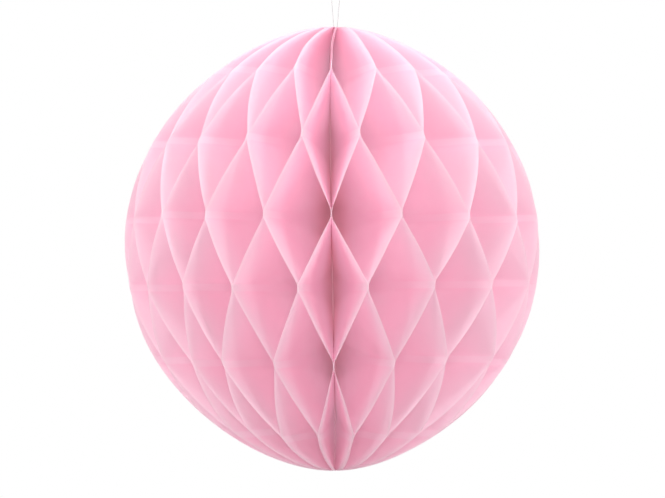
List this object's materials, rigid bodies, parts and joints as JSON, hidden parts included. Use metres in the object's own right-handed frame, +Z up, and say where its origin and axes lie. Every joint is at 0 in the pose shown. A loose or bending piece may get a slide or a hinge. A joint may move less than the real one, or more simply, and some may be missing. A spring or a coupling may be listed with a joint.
{
  "type": "honeycomb paper ball",
  "caption": "Round hanging decoration of pink tissue leaves glued in staggered strips, fanned round a spine into a ball of honeycomb cells, with card covers and a loop of thread.",
  "frame": {"origin": "middle of the ball, on the line of the spine", "axes": "+Z up along the spine towards the thread, -Y towards the front that the picture shows"},
  "size_m": [0.1868, 0.1868, 0.2392],
  "materials": {
    "tissue": "matt thin tissue that lets some light through",
    "card": "matt uncoated card",
    "thread": "twisted cotton thread"
  },
  "bodies": {
    "root": {"leaf_01": "tissue", "leaf_02": "tissue", "leaf_03": "tissue", "leaf_04": "tissue", "leaf_05": "tissue", "leaf_06": "tissue", "leaf_07": "tissue", "leaf_08": "tissue", "leaf_09": "tissue", "leaf_10": "tissue", "leaf_11": "tissue", "leaf_12": "tissue", "leaf_13": "tissue", "leaf_14": "tissue", "leaf_15": "tissue", "leaf_16": "tissue", "leaf_17": "tissue", "leaf_18": "tissue", "leaf_19": "tissue", "leaf_20": "tissue", "leaf_21": "tissue", "leaf_22": "tissue", "leaf_23": "tissue", "leaf_24": "tissue", "leaf_25": "tissue", "leaf_26": "tissue", "leaf_27": "tissue", "leaf_28": "tissue", "leaf_29": "tissue", "leaf_30": "tissue", "leaf_31": "tissue", "leaf_32": "tissue", "leaf_33": "tissue", "leaf_34": "tissue", "leaf_35": "tissue", "leaf_36": "tissue", "leaf_37": "tissue", "leaf_38": "tissue", "leaf_39": "tissue", "leaf_40": "tissue", "first_cover": "card", "last_cover": "card", "hanging_thread": "thread"}
  },
  "joints": []
}
